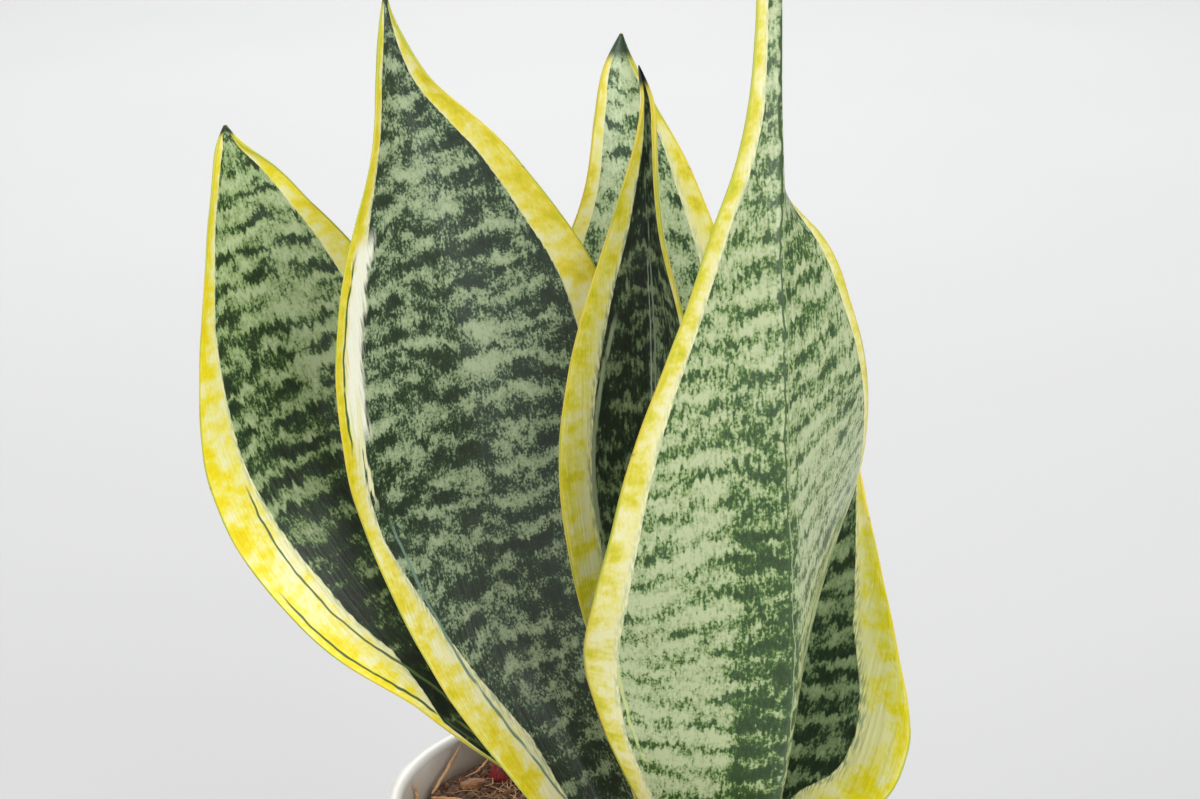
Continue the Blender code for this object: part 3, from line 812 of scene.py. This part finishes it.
def soilMaterial():
    # Damp coir pith: nearly black in its hollows, red-brown where it has dried
    material, tree, shader = newMaterial("dampCoirPith", {"Roughness": 0.9, "Sheen Weight": 0.1})
    place = addNode(tree, "TexCoord", output="Object")
    clods = addNode(tree, "TexNoise",
        {"Vector": place, "Scale": 1 / (3.85 * mm), "Detail": 6.0, "Roughness": 0.7})
    threads = addNode(tree, "TexWave", {
        "Vector": place, "Scale": 1 / (5.26 * mm), "Distortion": 14.0, "Detail": 3.0, "Detail Scale": 1.6,
    }, "Fac", wave_type="BANDS")
    level = addNode(tree, "Math", (threads, 0.22, clods), operation="MULTIPLY_ADD")
    colour = addNode(tree, "ValToRGB", [level],
        ramp=[(0.35, ground["wet"]), (0.62, ground["dry"]), (0.85, ground["crumbLight"])])
    finishSkin(tree, shader, colour, level, 1.0, 1.0)
    return material


def scatter(count, seed, reach):
    # Places on the soil, evenly spread over the disc
    draw = np.random.default_rng(seed)
    radius, angle = reach * np.sqrt(draw.random(count)), draw.uniform(0, 2 * np.pi, count)
    return draw, radius * np.cos(angle), radius * np.sin(angle)


def makeCrumbs(material):
    # Most crumbs are small: the size grows as a random number to the power 2.5
    draw, x, y = scatter(soil["crumbs"], 41, 45)
    low, high = soil["crumbSize"]
    size = low + (high - low) * draw.random((soil["crumbs"], 1)) ** 2.5
    sizes = size * draw.uniform(0.6, 1.25, (soil["crumbs"], 3))
    centres = np.stack([x, y, soilHeight(x, y) + 0.25 * size[:, 0]], 1)
    turns = draw.uniform(0, 6, soil["crumbs"])
    tones = draw.random(soil["crumbs"]) * 0.5
    piece = makeLumps("coirCrumbs", centres, sizes, turns, material, tones, 42)


def makeFibres(material):
    # Short curved hairs: each heads one way and bends at a steady rate, stays within the pot, and may lift
    # one end off the soil
    draw, x, y = scatter(soil["fibres"], 43, 38)
    count = soil["fibres"]
    length = draw.uniform(*soil["fibreLength"], (count, 1))
    heading, bend = draw.uniform(0, 6.28, (count, 1)), draw.normal(0, 0.9, (count, 1))
    t = np.linspace(-0.5, 0.5, 9)
    way = heading + bend * t + 0.35 * np.sin(9 * t + 6 * heading)
    step = length / 8
    px = x[:, None] + np.cumsum(np.cos(way) * step, 1) - 0.5 * np.cos(heading) * length
    py = y[:, None] + np.cumsum(np.sin(way) * step, 1) - 0.5 * np.sin(heading) * length
    inside = np.minimum(1, soil["fibreReach"] / np.maximum(np.hypot(px, py), 1))
    px, py = px * inside, py * inside
    rise = draw.exponential(1.0, (count, 1))
    looseFrom = draw.uniform(-0.3, 0.5, (count, 1))
    lift = 0.5 + 1.2 * rise * (4 * t**2) * (t > looseFrom)
    pz = soilHeight(px, py) + lift
    radius = draw.uniform(*soil["fibreRadius"], (count, 1)) * (1 - 0.9 * abs(2 * t) ** 3)
    tones = draw.random(count) * 0.6
    piece = makeTubes("coirHairs", np.stack([px, py, pz], -1), radius, 4, material, tones)


def makeStrand(number, radius, route, material):
    # A long fibre: a smooth curve through its route, shaken a little and thinner towards both ends
    route = np.array(route, float)
    t = np.linspace(0, 1, 60)
    curve = followRows(np.concatenate([route, np.zeros((len(route), 3))], 1), t)[:, :3]
    shake = np.stack([ripple(t, 5, seed + number) for seed in (60, 70, 80)], 1) * [1, 1, 0.5]
    curve = curve + 0.35 * shake * np.sin(np.pi * t)[:, None]
    taper = 0.25 + 0.75 * np.sin(np.pi * np.clip(t * 1.1 + 0.02, 0, 1)) ** 0.5
    thin = radius * taper * (1 + 0.15 * ripple(t, 8, 90 + number))
    piece = makeTubes(f"longFibre{number}", curve[None], thin[None], 10, material, np.array([0.35]))
    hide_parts(f"coir_strand_{number}")


def makeChip(number, centre, size, heading, material):
    # A splinter of husk: a superellipse in plan and section, split along its grain
    u = np.linspace(-1, 1, 41)[:, None]
    a = np.linspace(0, 2 * np.pi, 48, endpoint=False)
    power = lambda wave: np.sign(wave) * abs(wave) ** 0.6
    wide = (1 - abs(u) ** 4) ** 0.5 * (1 + 0.12 * np.sin(5 * u + number))
    grain = 1 + 0.07 * np.sin(11 * a + 3 * number) + 0.05 * np.sin(23 * a + 2 * u)
    x = size[0] / 2 * u * (1 + 0.05 * np.sin(7 * a + number)) + 0 * a
    y = size[1] / 2 * np.maximum(wide, 0.02) * power(np.cos(a)) * grain
    z = size[2] / 2 * np.maximum(wide, 0.02) * power(np.sin(a)) * grain
    x, y = spun(x, y, np.radians(heading))
    place = np.array([centre[0], centre[1], soil["top"] + 0.9 + size[2] / 2])
    rings = np.stack([x, y, z], -1) + place
    tone = np.full(rings.shape[:2], 0.15 + 0.08 * number)
    piece = makeShell(f"huskSplinter{number}", rings, material, {"tone": tone})
    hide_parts(f"husk_chip_{number}")


def makeShootScale(material):
    # A leaning pointed cap: at a share t of its height the radius goes as the root of 1 - t^1.7, with a
    # keel along its back and fine lengthwise ribs
    t = np.linspace(0, 1, 40)[:, None]
    a = np.linspace(0, 2 * np.pi, 64, endpoint=False)
    ribs = 1 + 0.05 * np.cos(a) ** 8 + 0.02 * np.sin(13 * a)
    radius = shootScale["radius"] * np.sqrt(np.maximum(1 - t**1.7, 0.0002)) * ribs
    x = shootScale["long"] * radius * np.cos(a) + 0.6 * t**2
    y = shootScale["short"] * radius * np.sin(a)
    x, y = spun(x, y, np.radians(shootScale["turn"]))
    z = soil["top"] - 1 + shootScale["height"] * t + 0 * a
    rings = np.stack([x + shootScale["place"][0], y + shootScale["place"][1], z], -1)
    piece = makeShell("redScale", rings, material)
    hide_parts("shoot_scale")


def fleshMaterial(name, look, roughness, streak):
    # Plant skin with pigment in fine lengthwise streaks, streak being their width
    material, tree, shader = newMaterial(name,
        {"Roughness": roughness, "Coat Weight": 0.15, "Coat Roughness": 0.35})
    place = addNode(tree, "TexCoord", output="Object")
    long = addNode(tree, "Mapping", {"Vector": place, "Scale": (1, 1, 0.25)})
    lines = addNode(tree, "TexNoise", {"Vector": long, "Scale": 1 / (streak * mm), "Detail": 4.0})
    colour = addNode(tree, "ValToRGB", [lines], ramp=[(0.35, look["dark"]), (0.65, look["light"])])
    finishSkin(tree, shader, colour, lines, 0.4, 0.2)
    return material


fibreSkin = toneMaterial("coconutFibre", ground["fibreDark"], ground["fibreLight"], 1.5, 0.75, 0.1)
huskSkin = toneMaterial("coconutHusk", ground["huskDark"], ground["huskLight"], 0.7, 0.85, 0.2)
makeSoil(soilMaterial())
makeCrumbs(toneMaterial("coirCrumb", ground["crumbDark"], ground["crumbLight"], 0.9, 0.92, 0.3))
makeFibres(fibreSkin)
for number, (radius, route) in enumerate(strands, 1):
    makeStrand(number, radius, route, fibreSkin)
for number, (centre, size, heading) in enumerate(chips, 1):
    makeChip(number, centre, size, heading, huskSkin)
makeShootScale(fleshMaterial("anthocyaninScale", shootScale, 0.4, 0.5))
# The crown is the plant's own rootstock: corky and pale, stained by the soil.
rootstock = fleshMaterial("rhizomeCork", crown, 0.7, 1.2)
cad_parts["crown"].material_slots[0].material = rootstock
print("soil filled")


# Floor, light and camera

# Sizes and places are in metres, and power is in watts.
stage = {"size": 9.0, "dull": "#b8b8b8", "clean": "#bbbbbb", "air": "#f4f6f8", "airStrength": 0.45}
camera = {"place": (-0.00563, -0.55964, 0.36130), "pitch": -17.5, "lens": 85.0}
lamps = {
    "windowLeft": {
        "place": (-1.3, -1.0, 1.1), "aim": (0, 0, 0.18),
        "size": 1.1, "power": 11, "colour": "#fffdf8",
    },
    "skyAbove": {
        "place": (-0.1, 0.3, 1.9), "aim": (0, 0, 0.1),
        "size": 1.8, "power": 21, "colour": "#ffffff",
    },
    "farWall": {
        "place": (0.0, 1.7, 1.3), "aim": (0, 1.65, 0),
        "size": 2.0, "power": 27, "colour": "#ffffff",
    },
    "fillRight": {
        "place": (0.9, -1.6, 0.7), "aim": (0, 0, 0.15),
        "size": 1.4, "power": 24, "colour": "#ffffff",
    },
}


def makeFloor():
    # Matt white paper, swept out flat, with the faintest clouds of tone
    half = stage["size"] / 2
    corners = [(-half, -half, 0), (half, -half, 0), (half, half, 0), (-half, half, 0)]
    material, tree, shader = newMaterial("paperSweep", {"Roughness": 0.8})
    place = addNode(tree, "TexCoord", output="Object")
    cloud = addNode(tree, "TexNoise", {"Vector": place, "Scale": 1 / (333 * mm), "Detail": 2.0})
    tint = addNode(tree, "ValToRGB", [cloud], ramp=[(0.2, stage["dull"]), (0.8, stage["clean"])])
    tree.links.new(tint, shader.inputs["Base Color"])
    mesh = bpy.data.meshes.new("floor")
    mesh.from_pydata(corners, [], [(0, 1, 2, 3)])
    mesh.materials.append(material)
    floor = bpy.data.objects.new("floor", mesh)
    bpy.context.collection.objects.link(floor)
    floor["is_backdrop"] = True


def aimed(piece, place, target):
    # A lamp or camera looks down its own -Z axis
    way = unit(np.array(target) - np.array(place))
    piece.location = place
    piece.rotation_euler = (np.arccos(-way[2]), 0, np.arctan2(way[1], way[0]) - np.pi / 2)


makeFloor()
for lampName, lamp in lamps.items():
    light = bpy.data.lights.new(lampName, "AREA")
    light.shape, light.size = "DISK", lamp["size"]
    light.energy, light.color = lamp["power"], linear(lamp["colour"])[:3]
    holder = bpy.data.objects.new(lampName, light)
    bpy.context.collection.objects.link(holder)
    aimed(holder, lamp["place"], lamp["aim"])

world = bpy.data.worlds.new("studio")
world.use_nodes = True
air = world.node_tree.nodes["Background"]
air.inputs["Color"].default_value = linear(stage["air"])
air.inputs["Strength"].default_value = stage["airStrength"]
bpy.context.scene.world = world

view = bpy.data.objects.new("camera", bpy.data.cameras.new("camera"))
view.data.lens = camera["lens"]
view.data.clip_start = 0.01
view.location = camera["place"]
view.rotation_euler = (np.radians(90 + camera["pitch"]), 0, 0)
bpy.context.collection.objects.link(view)
bpy.context.scene.camera = view
bpy.context.scene.view_settings.view_transform = "Standard"
print("stage lit")

{"cad": [list(corner) for corner in cadBox], "visual": [list(corner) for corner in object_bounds()]}
